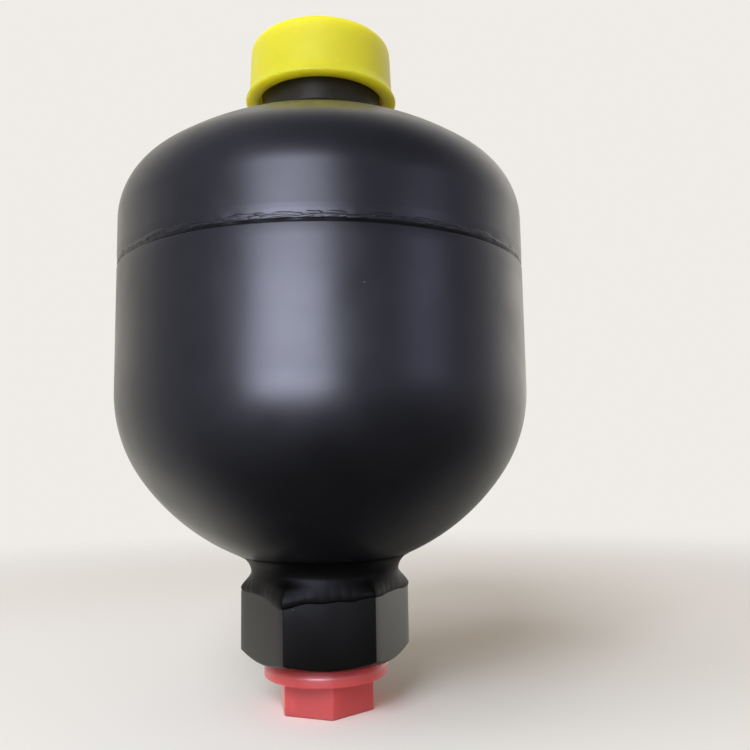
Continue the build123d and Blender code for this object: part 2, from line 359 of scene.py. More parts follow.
# Darker and duller copy of the shell's enamel for the port weld. It is partly rough paint on the weld and
# partly painted shade for the shade under the shell's belly.
DRY_ENAMEL_WITH_PAINTED_SHADE = StovedEnamel("dry_enamel_with_painted_shade_on_weld", "#0B0B0A", 0.44, gloss=0.08, peel_height_mm=0.012)
BLACKENED = TurnedSteel("blackened_oiled_steel", "#2A2720", 0.34, gloss=0.25, slot=Slot.BLACKENED,
                        metallic=0.0, ring_height_mm=0.003, stain_colour="#2E2A20")
BARE = TurnedSteel("turned_bare_steel", "#A7A6A5", 0.34)
ZINC = TurnedSteel("zinc_plated_steel", "#B9BBC0", 0.34, slot=Slot.ZINC, stain_colour="#A8A38C")
RUBBER = MouldedRubber("moulded_nitrile_rubber", "#161617", 0.72)
SEAL = MouldedRubber("smooth_nitrile_ring", "#121212", 0.42, slot=Slot.SEAL, grain_mm=0.3)
YELLOW = MouldedPolythene("yellow_polythene", "#F4E62E", 0.5, 0.55, slot=Slot.YELLOW, shade_colour="#EAD624",
                          scatter_mm=(8.0, 7.0, 1.4), scatter=1.0)
RED = MouldedPolythene("translucent_red_polythene", "#DA6264", 0.37, 0.8, slot=Slot.RED,
                       shade_colour="#CE4644", scatter_mm=(5.0, 1.4, 1.4), scatter=0.75,
                       grain_height_mm=0.003, swirl_height_mm=0.0)


# Mesh making


def rounded(corners: Sequence[Triple], steps: int = 5) -> Outline:
    """Round the corners of a closed outline.

    Args:
        corners: Radius, height and fillet of each corner in mm, in order.
        steps: Segments of each rounded corner.

    Returns:
        Points of radius and height in mm.
    """
    points: Outline = []
    for index, (radius, height, fillet) in enumerate(corners):
        if fillet <= 0:
            points.append((radius, height))
            continue
        corner = np.array((radius, height))
        before = np.array(corners[index - 1][:2]) - corner
        after = np.array(corners[(index + 1) % len(corners)][:2]) - corner
        sides = np.linalg.norm(before), np.linalg.norm(after)
        a, b = before / sides[0], after / sides[1]
        half = math.acos(float(np.clip(a @ b, -1, 1))) / 2
        reach = min(fillet / math.tan(half), 0.45 * sides[0], 0.45 * sides[1])
        bow = a + b
        centre = corner + bow / np.linalg.norm(bow) * reach / math.cos(half)
        first, last = corner + a * reach - centre, corner + b * reach - centre
        sweep = math.pi - 2 * half
        for t in np.linspace(0, 1, steps + 1):
            spoke = (math.sin((1 - t) * sweep) * first + math.sin(t * sweep) * last) / math.sin(sweep)
            points.append((float(centre[0] + spoke[0]), float(centre[1] + spoke[1])))
    return points


def piece(name: str, mesh: Mesh, sharp_deg: float = 32.0) -> Object:
    """Close a mesh, turn its faces outwards, shade it and put it in the scene.

    Args:
        name: Name of the piece.
        mesh: Its mesh, in metres.
        sharp_deg: Edges that bend more than this stay sharp.

    Returns:
        The new object.
    """
    work = bmesh.new()
    work.from_mesh(mesh)
    bmesh.ops.remove_doubles(work, verts=work.verts, dist=1e-6)
    bmesh.ops.recalc_face_normals(work, faces=work.faces)
    work.to_mesh(mesh)
    work.free()
    mesh.shade_smooth()
    mesh.set_sharp_from_angle(angle=math.radians(sharp_deg))
    mesh.name = name
    return show(bpy.data.objects.new(name, mesh))


def lathe(name: str, angles: np.ndarray, sections: Sequence[Outline], sharp_deg: float = 32.0) -> Object:
    """Sweep a closed section round Z, with its own shape at each angle.

    Args:
        name: Name of the piece.
        angles: Angles in radians, rising through one turn.
        sections: Radius and height in mm of each point of the section, for each angle.
        sharp_deg: Edges that bend more than this stay sharp.

    Returns:
        The new object.
    """
    radii, heights = np.moveaxis(np.array(sections), -1, 0)
    count, points = radii.shape
    turn = angles[:, None]
    vertices = np.stack([radii * np.cos(turn), radii * np.sin(turn), heights], -1).reshape(-1, 3) * MM
    i, j = np.meshgrid(np.arange(count), np.arange(points), indexing="ij")
    next_i, next_j = (i + 1) % count, (j + 1) % points
    faces = np.stack([i * points + j, next_i * points + j, next_i * points + next_j, i * points + next_j], -1)
    mesh = bpy.data.meshes.new(name)
    mesh.from_pydata(vertices.tolist(), [], faces.reshape(-1, 4).tolist())
    return piece(name, mesh, sharp_deg)


def turned(name: str, outline: Outline, segments: int = 192, sharp_deg: float = 32.0) -> Object:
    """Turn one closed outline into a solid of revolution.

    Args:
        name: Name of the piece.
        outline: Points of radius and height in mm.
        segments: Steps round the axis.
        sharp_deg: Edges that bend more than this stay sharp.

    Returns:
        The new object.
    """
    return lathe(name, full_turn(segments), [outline] * segments, sharp_deg)


def full_turn(steps: int) -> np.ndarray:
    """Angles of one turn in equal steps."""
    return np.linspace(0, FULL_TURN, steps, endpoint=False)


def hexagon(across_flats: float, corner_deg: float, rounding: float,
            flat_steps: int = 8) -> tuple[np.ndarray, np.ndarray]:
    """Outline of a hexagon with rounded corners, seen from its axis.

    Args:
        across_flats: Size over two flats in mm.
        corner_deg: Angle of one corner.
        rounding: Radius of the corners in mm.
        flat_steps: Steps along each flat.

    Returns:
        Angles in radians, rising, and the radius in mm at each.
    """
    reach = across_flats / 2 / math.cos(math.pi / 6)
    turns = [math.radians(corner_deg + 60 * k) for k in range(6)]
    corners = rounded([(reach * math.cos(t), reach * math.sin(t), rounding) for t in turns])
    points = []
    for index, end in enumerate(corners):
        start = corners[index - 1]
        steps = flat_steps if math.dist(start, end) > across_flats / 4 else 1
        points += [np.array(start) + (np.array(end) - np.array(start)) * s / steps for s in range(steps)]
    x, y = np.array(points).T
    angles, radii = np.arctan2(y, x) % FULL_TURN, np.hypot(x, y)
    order = np.argsort(angles)
    return angles[order], radii[order]


def smooth_path(points: Sequence[Pair], steps: int) -> Outline:
    """Run a smooth line through points.

    Args:
        points: Two or more points.
        steps: Steps between each two points.

    Returns:
        Points of the line.
    """
    knots = np.array([points[0], *points, points[-1]], float)
    line = []
    for a, b, c, d in zip(knots, knots[1:], knots[2:], knots[3:]):
        for t in np.linspace(0, 1, steps, endpoint=False):
            line.append(tuple(0.5 * (2 * b + (c - a) * t + (2 * a - 5 * b + 4 * c - d) * t**2
                                     + (3 * b - a - 3 * c + d) * t**3)))
    return [*line, tuple(knots[-1])]


def dress(obj: Object, finish: Finish, *nodes: str, body: Body = Body.VESSEL) -> None:
    """Give a piece its material, its body and the nodes it stands for.

    Args:
        obj: The piece.
        finish: Its finish.
        nodes: Nodes that it replaces.
        body: The body that it rides on.
    """
    obj.data.materials.clear()
    obj.data.materials.append(finish.material())
    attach(obj, body.value)
    if nodes:
        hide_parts(*nodes)
    LOG.info("%s: %d faces on %s", obj.name, len(obj.data.polygons), body.value)


def redress(node: str, finish: Finish) -> None:
    """Give a node of the model a new finish, and keep its mesh.

    Args:
        node: Name of the node.
        finish: Its finish.
    """
    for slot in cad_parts[node].material_slots:
        slot.material = finish.material()
    LOG.info("%s keeps its own mesh", node)


class RuleTree:
    """A geometry node tree with named inputs, turned into a plain mesh when it is used."""

    def __init__(self, name: str, sizes: dict[str, float | int], finish: Finish) -> None:
        """Start the tree.

        Args:
            name: Name of the tree.
            sizes: Values of its inputs, in metres, turns or counts.
            finish: Finish that the tree gives its mesh.
        """
        self.name, self.sizes, self.finish = name, sizes, finish
        self.tree = bpy.data.node_groups.new(name, "GeometryNodeTree")
        self.tree.interface.new_socket("Geometry", in_out="OUTPUT", socket_type="NodeSocketGeometry")
        self.sockets = {}
        for key, value in sizes.items():
            kind = "NodeSocketInt" if isinstance(value, int) else "NodeSocketFloat"
            socket = self.tree.interface.new_socket(key, in_out="INPUT", socket_type=kind)
            self.sockets[key] = socket.identifier
        self.inputs = add(self.tree, "NodeGroupInput").outputs

    def mesh(self, geometry: Node) -> Mesh:
        """End the tree, evaluate it and take its mesh.

        Args:
            geometry: The node that gives the result.

        Returns:
            A plain mesh.
        """
        real = add(self.tree, "GeometryNodeRealizeInstances", (geometry,))
        coloured = add(self.tree, "GeometryNodeSetMaterial", (real, True, self.finish.material()))
        add(self.tree, "NodeGroupOutput", (coloured,))
        carrier = show(bpy.data.objects.new(self.name, bpy.data.meshes.new(self.name)))
        modifier = carrier.modifiers.new(self.name, "NODES")
        modifier.node_group = self.tree
        for key, value in self.sizes.items():
            modifier[self.sockets[key]] = value
        depsgraph = bpy.context.evaluated_depsgraph_get()
        mesh = bpy.data.meshes.new_from_object(carrier.evaluated_get(depsgraph), depsgraph=depsgraph)
        bpy.data.objects.remove(carrier)
        return mesh


@dataclass(frozen=True)
class ScrewThread:
    """V thread cut along a helix: a ridge of trapezoid section on a core, tapered out at both ends.

    The two shares are widths of the ridge in pitches.
    """

    root_radius: float
    crest_radius: float
    pitch: float
    low: float
    high: float
    steps: int = 72
    sink: float = 0.12
    base_share: float = 0.94
    crest_share: float = 0.14

    def cut(self, name: str, finish: Finish, body: Body = Body.VESSEL) -> None:
        """Make the ridge with a node tree, and dress it.

        Args:
            name: Name of the piece.
            finish: Its finish.
            body: The body that it rides on.
        """
        sink = math.copysign(self.sink, self.crest_radius - self.root_radius)
        rule = RuleTree(name, {
            "Root Radius": (self.root_radius - sink) * MM, "Crest Radius": self.crest_radius * MM,
            "Pitch": self.pitch * MM, "Turns": (self.high - self.low) / self.pitch,
            "Steps": self.steps, "Start Height": self.low * MM}, finish)
        tree, given = rule.tree, rule.inputs
        root, crest, pitch, turns = (given[key] for key in ("Root Radius", "Crest Radius", "Pitch", "Turns"))
        total = add(tree, "Math", (root, crest), operation="ADD")
        middle = add(tree, "Math", (total, 0.5), operation="MULTIPLY")
        depth = add(tree, "Math", (crest, root), operation="SUBTRACT")
        rise = add(tree, "Math", (pitch, turns), operation="MULTIPLY")
        helix = add(tree, "GeometryNodeCurveSpiral", {
            "Resolution": given["Steps"], "Rotations": turns, "Start Radius": middle, "End Radius": middle,
            "Height": rise})
        level = add(tree, "GeometryNodeSetCurveNormal", {"Curve": helix}, mode="Z_UP")
        base, top = (add(tree, "Math", (pitch, share), operation="MULTIPLY")
                     for share in (self.base_share, self.crest_share))
        section = add(tree, "GeometryNodeCurvePrimitiveQuadrilateral", {
            "Height": depth, "Bottom Width": base, "Top Width": top, "Offset": 0.0}, mode="TRAPEZOID")
        upright = add(tree, "GeometryNodeTransform", {
            "Geometry": section, "Rotation": (0.0, 0.0, -math.pi / 2)})
        along = add(tree, "GeometryNodeSplineParameter")
        ends = add(tree, "Math", (along, 0.5), operation="SUBTRACT")
        away = add(tree, "Math", (ends,), operation="ABSOLUTE")
        taper = add(tree, "MapRange", (away, 0.5, 0.46, 0.1, 1.0))
        swept = add(tree, "GeometryNodeCurveToMesh", {
            "Curve": level, "Profile Curve": upright, "Scale": taper, "Fill Caps": True})
        offset = add(tree, "CombineXYZ", {"Z": given["Start Height"]})
        placed = add(tree, "GeometryNodeTransform", {"Geometry": swept, "Translation": offset})
        dress(piece(name, rule.mesh(placed), 25.0), finish, body=body)


# The accumulator


@dataclass(frozen=True)
class DishedEnd:
    """Crown and knuckle arcs of one end of the shell, in mm."""

    radius: float
    crown_excess: float
    knuckle: float
    skirt_z: float
    up: int

    @property
    def crown(self) -> float:
        """Radius of the crown."""
        return self.radius + self.crown_excess

    @property
    def rise(self) -> float:
        """Height between the crown's centre and the skirt line."""
        return math.sqrt((self.crown - self.knuckle) ** 2 - (self.radius - self.knuckle) ** 2)

    @property
    def apex_z(self) -> float:
        """Height of the crown's outermost point on the axis."""
        return self.skirt_z + self.up * (self.crown - self.rise)

    def height_at(self, radius: float) -> float:
        """Height of the crown at a radius."""
        return self.skirt_z + self.up * (math.sqrt(self.crown**2 - radius**2) - self.rise)

    def arcs(self, hole: float, inset: float = 0.0, steps: int = 48) -> Outline:
        """Points from a hole round the axis to the skirt line.

        Args:
            hole: Radius of the hole, or zero.
            inset: How far inside the outer surface.
            steps: Steps of each arc.

        Returns:
            Points of radius and height.
        """
        crown, knuckle = self.crown - inset, self.knuckle - inset
        tangent = math.atan2(self.rise, self.radius - self.knuckle)
        crown_turn = np.linspace(math.acos(hole / crown), tangent, steps)
        knuckle_turn = np.linspace(tangent, 0, steps)[1:]
        return [(x + arc * math.cos(t), z + self.up * arc * math.sin(t)) for x, z, arc, angles in (
            (0.0, self.skirt_z - self.up * self.rise, crown, crown_turn),
            (self.radius - self.knuckle, self.skirt_z, knuckle, knuckle_turn)) for t in angles]


@dataclass
class PressureShell:
    """Two shell halves and the girth weld between them.

    The least and the most of a scale are shares of its length, thickness and height.
    """

    wall: float = 4.2
    fluid_crown_excess: float = 2.8
    fluid_knuckle: float = 32.2
    fluid_skirt: float = 27.5
    gas_crown_excess: float = 18.6
    gas_knuckle: float = 15.85
    gas_skirt: float = 9.5
    fluid_hole: float = 11.05
    gas_hole: float = 8.05
    seat_radius: float = 13.3
    groove_root: float = 0.5
    groove_face: float = 1.4
    undercut_height: float = 0.62
    undercut_depth: float = 0.5
    fluid_lip: float = 0.22
    gas_lip: float = 0.01
    scale_pitch: float = 1.15
    scale_length: float = 1.5
    scale_height: float = 0.3
    scale_thickness: float = 0.075
    scale_least: Triple = (0.45, 0.6, 0.5)
    scale_most: Triple = (1.5, 1.25, 1.35)
    scale_wander: float = 0.36
    scale_lean: float = 0.09
    scale_seed: int = 7

    def __post_init__(self) -> None:
        """Read the shell's place from the model."""
        self.radius = box_mm("fluid_shell")[1].x
        low, high = box_mm("girth_weld")
        self.seam_z = (low.z + high.z) / 2
        self.fluid = DishedEnd(self.radius, self.fluid_crown_excess, self.fluid_knuckle,
                               self.seam_z - self.fluid_skirt, -1)
        self.gas = DishedEnd(self.radius, self.gas_crown_excess, self.gas_knuckle,
                             self.seam_z + self.gas_skirt, 1)

    def half(self, end: DishedEnd, hole: float, lip: float, inner: Outline) -> Outline:
        """Closed section of one half.

        Args:
            end: Its dished end.
            hole: Radius of its hole.
            lip: Radius of its edge at the weld.
            inner: Points that close the section from the inner surface to the hole.

        Returns:
            Points of radius and height.
        """
        face_z, root_z = (self.seam_z + end.up * way for way in (self.groove_face, self.groove_root))
        skirt = np.linspace(end.skirt_z, face_z + end.up * lip, 12)[1:]
        edge = [(self.radius - lip * (1 - math.cos(t)), face_z + end.up * lip * (1 - math.sin(t)))
                for t in np.linspace(0, math.pi / 2, 5)[1:]]
        inside = end.arcs(inner[0][0], self.wall, 24)
        return [*end.arcs(hole), *((self.radius, float(z)) for z in skirt), *edge,
                (self.radius - self.wall, root_z), *inside[::-1], *inner[1:]]

    def build(self) -> None:
        """Make the halves and the weld."""
        seat_z = box_mm("fluid_port")[1].z
        fluid = self.half(self.fluid, self.fluid_hole, self.fluid_lip, [
            (self.seat_radius, 0.0), (self.seat_radius, seat_z), (self.fluid_hole, seat_z)])
        gas = self.half(self.gas, self.gas_hole, self.gas_lip, [(self.gas_hole, 0.0)])
        for obj, *node in ((turned("shell_fluid_half", fluid, 288), "fluid_shell"),
                           (turned("shell_gas_half", gas, 288), "gas_shell"),
                           (self.weld(), "girth_weld"), (self.scales(),)):
            dress(obj, ENAMEL, *node)

    def weld(self) -> Object:
        """Make weld metal with an undercut along its lower edge, a little uneven round the seam.

        Returns:
            The new object.
        """
        angles = full_turn(900)
        bore = self.radius - self.wall + 0.05
        low, high = self.seam_z - self.groove_face, self.seam_z + self.groove_face
        sections = []
        for angle in angles:
            place = Vector((math.cos(angle), math.sin(angle), 0.0)) * self.radius
            sway = 0.1 * noise.noise(place / 6.0) + 0.05 * noise.noise(place / 1.3)
            depth = self.undercut_depth + 0.1 * noise.noise(place / 4.0 + Vector((0, 0, 9)))
            sink = 0.14 + 0.06 * noise.noise(place / 2.4 + Vector((0, 0, 5)))
            edge = low + self.undercut_height + sway
            outside = [(depth + 0.1, low + 0.02), (depth, low + 0.12), (depth - 0.14, edge - 0.24),
                       (sink + 0.1, edge - 0.06), (sink, edge + 0.06), (sink, edge + 0.5), (sink, edge + 1.0),
                       (0.5 * sink, edge + 1.4), (0.012, high - 0.1), (0.004, high + 0.3)]
            sections.append([(bore, self.seam_z - self.groove_root),
                             *((self.radius - inset, height) for inset, height in outside),
                             (bore, self.seam_z + self.groove_root)])
        return lathe("girth_weld_bead", angles, sections, 50.0)

    def scales(self) -> Object:
        """Make the flat smeared scales that the weld pool left along the bead, under the paint.

        Returns:
            The new object.
        """
        face = self.radius - 0.13
        middle = self.seam_z - self.groove_face + self.undercut_height + 0.62
        rule = RuleTree("girth_weld_scales", {
            "Count": round(FULL_TURN * face / self.scale_pitch), "Radius": face * MM, "Height": middle * MM,
            "Wander": self.scale_wander * MM, "Unit": MM, "Seed": self.scale_seed}, ENAMEL)
        tree, given = rule.tree, rule.inputs
        ring = add(tree, "GeometryNodeMeshCircle", {"Vertices": given["Count"], "Radius": given["Radius"]})
        lens = add(tree, "GeometryNodeMeshUVSphere", {"Segments": 10, "Rings": 6, "Radius": given["Unit"]})
        wander, lean = (
            add(tree, "FunctionNodeRandomValue", {"Min_001": -most, "Max_001": most, "Seed": given["Seed"]},
                data_type="FLOAT") for most in (1.0, self.scale_lean))
        shift = add(tree, "Math", (wander, given["Wander"]), operation="MULTIPLY")
        level = add(tree, "Math", (shift, given["Height"]), operation="ADD")
        lift = add(tree, "CombineXYZ", {"Z": level})
        row = add(tree, "GeometryNodeSetPosition", {"Geometry": ring, "Offset": lift})
        x, y, _ = add(tree, "SeparateXYZ", (add(tree, "GeometryNodeInputPosition"),)).outputs
        angle = add(tree, "Math", (y, x), operation="ARCTAN2")
        turn = add(tree, "Math", (angle, math.pi / 2), operation="ADD")
        euler = add(tree, "CombineXYZ", {"Y": lean, "Z": turn})
        sizes = np.array((self.scale_length, self.scale_thickness, self.scale_height))
        size = add(tree, "FunctionNodeRandomValue", {
            "Min": tuple(sizes * self.scale_least), "Max": tuple(sizes * self.scale_most),
            "Seed": given["Seed"]}, data_type="FLOAT_VECTOR")
        many = add(tree, "GeometryNodeInstanceOnPoints", {
            "Points": row, "Instance": lens, "Rotation": euler, "Scale": size})
        return piece("girth_weld_scales", rule.mesh(many), 60.0)


@dataclass
class FluidPort:
    """Hexagonal port with its bevels, its threaded bore and the weld that joins it to the shell.

    Each sag of the weld has an angle and a half-width in degrees, a depth and a growth in mm.
    """

    shell: PressureShell
    across_flats: float = 32.0
    corner_deg: float = 0.0
    corner_round: float = 0.5
    bevel_face: float = 15.2
    bevel_deg: float = 30.0
    height: float = 16.2
    lead_in_radius: float = 10.5
    lead_in_depth: float = 5.5
    thread_crest: float = 9.34
    thread_root: float = 10.42
    thread_pitch: float = 1.814
    thread_length: float = 10.2
    drill_tip_deg: float = 59.0
    flow_radius: float = 6.0
    spigot_radius: float = 11.0
    waist_radius: float = 16.2
    foot_radius: float = 18.2
    sags: tuple[tuple[float, float, float, float], ...] = (
        (-122.0, 14.0, 1.7, 0.55), (-92.0, 12.0, 0.7, 0.1), (-74.0, 8.0, 0.5, 0.1),
        (150.0, 20.0, 0.5, 0.1), (60.0, 16.0, 0.7, 0.15), (5.0, 14.0, 0.3, 0.1))

    def __post_init__(self) -> None:
        """Read the port's levels from the model."""
        low, high = box_mm("fluid_port")
        self.face_z, self.seat_z = low.z, high.z
        self.top_z = self.face_z + self.height
        self.bore_low = self.face_z + self.lead_in_depth
        self.bore_high = self.bore_low + self.thread_length

    def build(self) -> None:
        """Make the port, its thread and its weld."""
        # The hexagon's enamel is darker and less glossy than the shell's: partly thin paint, partly painted
        # shade.
        dress(self.body(), THIN_ENAMEL_WITH_PAINTED_SHADE, "fluid_port")
        ScrewThread(self.thread_root, self.thread_crest, self.thread_pitch, self.bore_low + 1.0,
                    self.bore_high - 0.6).cut("port_thread", BARE)
        # The weld's enamel is darker and duller than the shell's: partly rough paint, partly painted shade.
        dress(self.weld(), DRY_ENAMEL_WITH_PAINTED_SHADE, "fluid_port_weld")

    def body(self) -> Object:
        """Make the hexagon with turned bevels at both ends, bored through.

        Returns:
            The new object.
        """
        angles, reaches = hexagon(self.across_flats, self.corner_deg, self.corner_round)
        tip = (self.thread_crest - self.flow_radius) / math.tan(math.radians(self.drill_tip_deg))
        sections = []
        for reach in reaches:
            drop = (reach - self.bevel_face) * math.tan(math.radians(self.bevel_deg))
            sections.append(rounded([
                (self.lead_in_radius, self.face_z, 0.3), (self.bevel_face, self.face_z, 0.4),
                (reach, self.face_z + drop, 0.35), (reach, self.top_z - drop, 0.35),
                (self.bevel_face, self.top_z, 0.2), (self.spigot_radius, self.top_z, 0.0),
                (self.spigot_radius, self.seat_z, 0.2), (self.flow_radius, self.seat_z, 0.3),
                (self.flow_radius, self.bore_high + tip, 0.3), (self.thread_root, self.bore_high, 0.1),
                (self.thread_root, self.bore_low, 0.2), (self.lead_in_radius, self.bore_low - 0.3, 0.05)]))
        return lathe("fluid_port_hexagon", angles, sections, 26.0)

    def weld(self) -> Object:
        """Make the hand-laid bead, that laps down over the hexagon and sags at the front.

        Returns:
            The new object.
        """
        angles = full_turn(540)
        hexagonal = hexagon(self.across_flats, self.corner_deg, self.corner_round)
        foot_z = self.shell.fluid.height_at(self.foot_radius)
        sections = []
        for angle, flat in zip(angles, np.interp(angles, *hexagonal, period=FULL_TURN)):
            sag = swell = 0.0
            for centre, width, depth, growth in self.sags:
                off = (math.degrees(angle) - centre + 180) % 360 - 180
                sag += depth * math.exp(-(off / width) ** 2)
                swell += growth * math.exp(-(off / width) ** 2)
            place = Vector((math.cos(angle), math.sin(angle), 0.0)) * self.waist_radius
            rough = 0.2 * noise.noise(place / 6.0) + 0.03 * noise.noise(place / 1.6 + Vector((0, 0, 4)))
            bulge = 16.42 + 0.85 * (flat - self.across_flats / 2) + swell + rough
            low = self.top_z - 1.9 - sag + 0.3 * noise.noise(place / 5.0 + Vector((3, 0, 0)))
            waist = self.waist_radius + 0.2 * noise.noise(place / 6.0 + Vector((0, 7, 0)))
            drape = bulge - waist
            sections.append([*smooth_path([
                (flat - 0.25, low), (min(flat + 0.45, bulge - 0.12), low + 0.16),
                (bulge, self.top_z - 1.0 - 0.5 * sag), (waist + 0.62 * drape, self.top_z + 0.1),
                (waist + 0.2 * drape, self.top_z + 1.2), (waist, self.top_z + 2.3),
                (waist + 0.45, foot_z - 1.7), (self.foot_radius - 0.5, foot_z - 0.45),
                (self.foot_radius + 0.5, foot_z + 0.12)], 4),
                (11.2, foot_z - 1.2), (11.2, self.top_z - 0.2), (15.0, low)])
        return lathe("fluid_port_weld_bead", angles, sections, 70.0)


@dataclass
class TransportPlug:
    """Red moulded plug in the fluid port: hexagon head open below, flange and threaded barrel."""

    across_flats: float = 19.0
    corner_deg: float = 34.0
    corner_round: float = 0.8
    head_height: float = 7.0
    recess_radius: float = 7.7
    recess_depth: float = 5.2
    flange_radius: float = 13.4
    barrel_core: float = 9.75
    barrel_crest: float = 10.42
    barrel_bore: float = 8.85
    thread_pitch: float = 1.814

    def build(self) -> None:
        """Make the plug and its thread."""
        top_z, face_z = box_mm("port_plug")[1].z, box_mm("fluid_port")[0].z
        angles, reaches = hexagon(self.across_flats, self.corner_deg, self.corner_round)
        sections = [rounded([
            (0.0, self.recess_depth, 0.0), (self.recess_radius - 0.3, self.recess_depth, 0.4),
            (self.recess_radius, 0.0, 0.3), (reach, 0.0, 0.35), (reach, self.head_height, 0.3),
            (self.flange_radius, self.head_height, 0.4), (self.flange_radius, face_z - 1.8, 0.8),
            (self.flange_radius - 1.0, face_z - 0.02, 0.3), (self.barrel_core, face_z - 0.02, 0.2),
            (self.barrel_core, top_z, 0.4), (self.barrel_bore, top_z, 0.3),
            (self.barrel_bore, face_z - 1.0, 0.4), (0.0, face_z - 1.0, 0.0)]) for reach in reaches]
        body = lathe("transport_plug_body", angles, sections, 30.0)
        dress(body, RED, "port_plug", body=Body.PLUG)
        ScrewThread(self.barrel_core, self.barrel_crest, self.thread_pitch, face_z + 0.9,
                    top_z - 0.9).cut("transport_plug_thread", RED, Body.PLUG)


@dataclass
class GasBoss:
    """Blackened boss with its outer thread, its stepped bore and the fillet weld at its foot."""

    shell: PressureShell
    radius: float = 13.88
    thread_root: float = 13.0
    thread_pitch: float = 1.5
    relief_z: float = 6.1
    spigot_radius: float = 8.0
    screw_bore: float = 7.05
    seal_bore: float = 5.9
    passage: float = 1.5
    toe_radius: float = 15.5

    def build(self) -> None:
        """Make the boss, its thread and its weld."""
        low, high = box_mm("gas_boss")
        base_z, top_z = self.shell.gas.apex_z + 0.1, high.z
        screw_low = box_mm("charging_screw")[0].z
        thread_z = base_z + self.relief_z
        outline = rounded([
            (self.radius, base_z, 0.0), (self.radius, thread_z, 0.2),
            (self.thread_root, thread_z + 0.5, 0.3), (self.thread_root, top_z - 0.9, 0.3),
            (self.thread_root - 0.8, top_z, 0.2), (self.screw_bore + 1.1, top_z, 0.2),
            (self.screw_bore, top_z - 1.1, 0.1), (self.screw_bore, screw_low + 3.45, 0.0),
            (self.seal_bore, screw_low + 2.85, 0.0), (self.seal_bore, screw_low - 0.1, 0.0),
            (self.passage, screw_low - 0.1, 0.0), (self.passage, low.z, 0.0),
            (self.spigot_radius, low.z, 0.0), (self.spigot_radius, base_z, 0.0)])
        dress(turned("gas_boss_stub", outline), BLACKENED, "gas_boss")
        ScrewThread(self.thread_root, self.radius, self.thread_pitch, thread_z + 0.9,
                    top_z - 1.1).cut("gas_boss_thread", BLACKENED)
        dress(self.weld(base_z), ENAMEL, "gas_boss_weld")

    def weld(self, base_z: float) -> Object:
        """Make the fillet weld at the boss's foot, laid by hand.

        Args:
            base_z: Height of the boss's foot.

        Returns:
            The new object.
        """
        angles = full_turn(360)
        inner, wall = self.spigot_radius + 0.05, self.radius - 0.28
        sections = []
        for angle in angles:
            place = Vector((math.cos(angle), math.sin(angle), 0.0)) * (self.radius + 0.02)
            rough = 0.14 * noise.noise(place / 1.6) + 0.1 * noise.noise(place / 5.0)
            toe = self.toe_radius + rough
            toe_z = self.shell.gas.height_at(toe)
            sections.append([*smooth_path([
                (wall, base_z + 0.85 + rough), (wall + 0.55, base_z + 0.6 + rough),
                (14.75 + rough, base_z - 0.35), (toe, toe_z + 0.02), (toe + 0.2, toe_z - 0.2)], 4),
                (inner, toe_z - 0.2), (inner, base_z)])
        return lathe("gas_boss_fillet_weld", angles, sections, 70.0)


@dataclass
class ChargingScrew:
    """Plated screw with a hexagon socket, and the rubber ring on its nose."""

    thread_crest: float = 6.97
    thread_root: float = 6.15
    thread_pitch: float = 1.5
    thread_length: float = 8.0
    collar: float = 5.7
    nose: float = 5.2
    neck: float = 3.8
    socket: float = 6.0
    socket_depth: float = 4.6

    def build(self) -> None:
        """Make the screw and its thread, and dress the ring."""
        low, high = (corner.z for corner in box_mm("charging_screw"))
        angles, reaches = hexagon(self.socket, 0.0, 0.15, 5)
        shoulder = high - self.thread_length
        sections = [rounded([
            (0.0, low, 0.0), (self.nose, low, 0.15), (self.nose, low + 0.7, 0.1),
            (self.neck, low + 0.7, 0.15), (self.neck, low + 2.9, 0.15), (self.collar, low + 2.9, 0.1),
            (self.collar, shoulder, 0.1), (self.thread_root, shoulder + 0.4, 0.1),
            (self.thread_root, high - 1.0, 0.1), (6.9, high - 0.9, 0.1), (6.3, high, 0.2),
            (3.75, high, 0.1), (reach, high - 0.35, 0.05), (reach, high - self.socket_depth, 0.1),
            (0.0, high - self.socket_depth - 0.001, 0.0)], 3) for reach in reaches]
        body = lathe("charging_screw_body", angles, sections, 28.0)
        dress(body, ZINC, "charging_screw", body=Body.SCREW)
        ScrewThread(self.thread_root, self.thread_crest, self.thread_pitch, shoulder + 0.9,
                    high - 1.4, 48).cut("charging_screw_thread", ZINC, Body.SCREW)
        redress("charging_seal", SEAL)


@dataclass
class ProtectiveCap:
    """Yellow moulded cap pushed over the boss: drafted skirt, rounded crown and a bead round the mouth."""

    inner: float = 14.2
    crown_radius: float = 16.25
    mouth_radius: float = 16.7
    crown_round: float = 2.6
    lip_height: float = 2.8
    roof: float = 2.5
    gate_radius: float = 1.6

    def build(self) -> None:
        """Make the cap."""
        lip, low, high = box_mm("gas_cap")[1].x, *(corner.z for corner in box_mm("gas_cap"))
        mouth, gate, roof_z = self.mouth_radius, self.gate_radius, high - self.roof
        lip_top = low + self.lip_height
        crown = rounded([
            (0.0, roof_z, 0.0), (0.0, high - 0.35, 0.0), (gate * 0.5, high - 0.35, 0.1),
            (gate * 0.6, high - 0.6, 0.1), (gate, high - 0.6, 0.1), (gate + 0.4, high, 0.25),
            (self.crown_radius, high, self.crown_round), (mouth - 0.03, lip_top + 0.6, 0.0)], 8)
        flare = smooth_path([
            (mouth - 0.03, lip_top + 0.6), (mouth + 0.1, lip_top - 0.3), (mouth + 0.42, low + 1.5),
            (lip - 0.06, low + 0.8), (lip - 0.03, low + 0.45), (lip - 0.45, low + 0.12),
            (lip - 1.4, low)], 5)
        inside = rounded([(lip - 1.4, low, 0.0), (self.inner, low, 0.9), (self.inner, roof_z, 0.8),
                          (0.0, roof_z, 0.0)], 6)
        cap = turned("protective_cap_shell", crown[1:-1] + flare + inside[1:], 240, 40.0)
        dress(cap, YELLOW, "gas_cap", body=Body.CAP)


